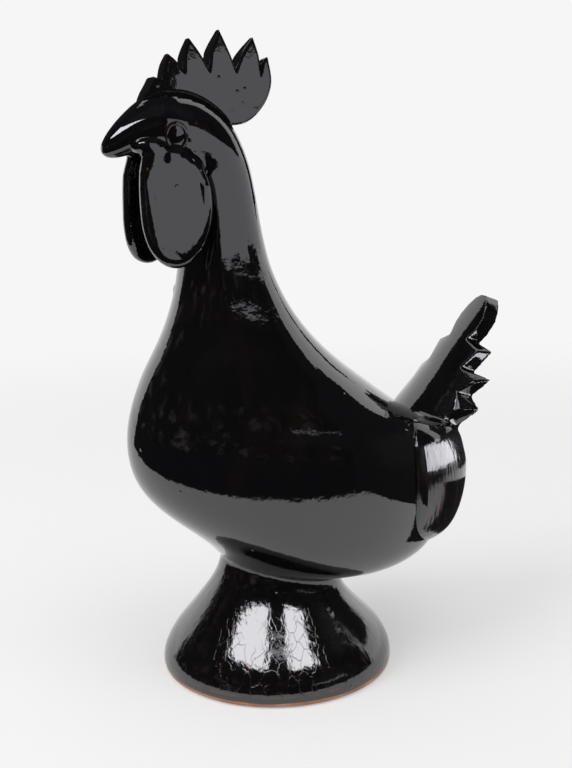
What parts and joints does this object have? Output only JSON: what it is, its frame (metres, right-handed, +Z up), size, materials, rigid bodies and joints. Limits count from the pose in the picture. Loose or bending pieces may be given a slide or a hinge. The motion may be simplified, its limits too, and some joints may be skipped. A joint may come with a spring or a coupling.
{
  "type": "pottery rooster",
  "caption": "Black-glazed pottery rooster on a hollow flared foot, with a toothed comb along its head, broad hanging wattles, ring eyes, a blunt beak and an upright notched fan tail.",
  "frame": {"origin": "on the table plane, under the middle of the bird's bounding box", "axes": "+Z up, -Y where the beak points, +X the bird's left side"},
  "size_m": [0.1284, 0.2406, 0.3392],
  "materials": {
    "black_glaze": "high gloss black glaze with faint crackle, thinning to brown on sharp edges",
    "bare_clay": "matte bare terracotta, wiped free of glaze"
  },
  "bodies": {
    "root": {"pedestal": "black_glaze", "torso": "black_glaze", "neck": "black_glaze", "head": "black_glaze", "beak": "black_glaze", "comb": "black_glaze", "wattle_left": "black_glaze", "wattle_right": "black_glaze", "eye_ring_left": "black_glaze", "eye_ring_right": "black_glaze", "eye_pellet_left": "black_glaze", "eye_pellet_right": "black_glaze", "tail": "black_glaze", "foot_ring": "bare_clay"}
  },
  "joints": []
}
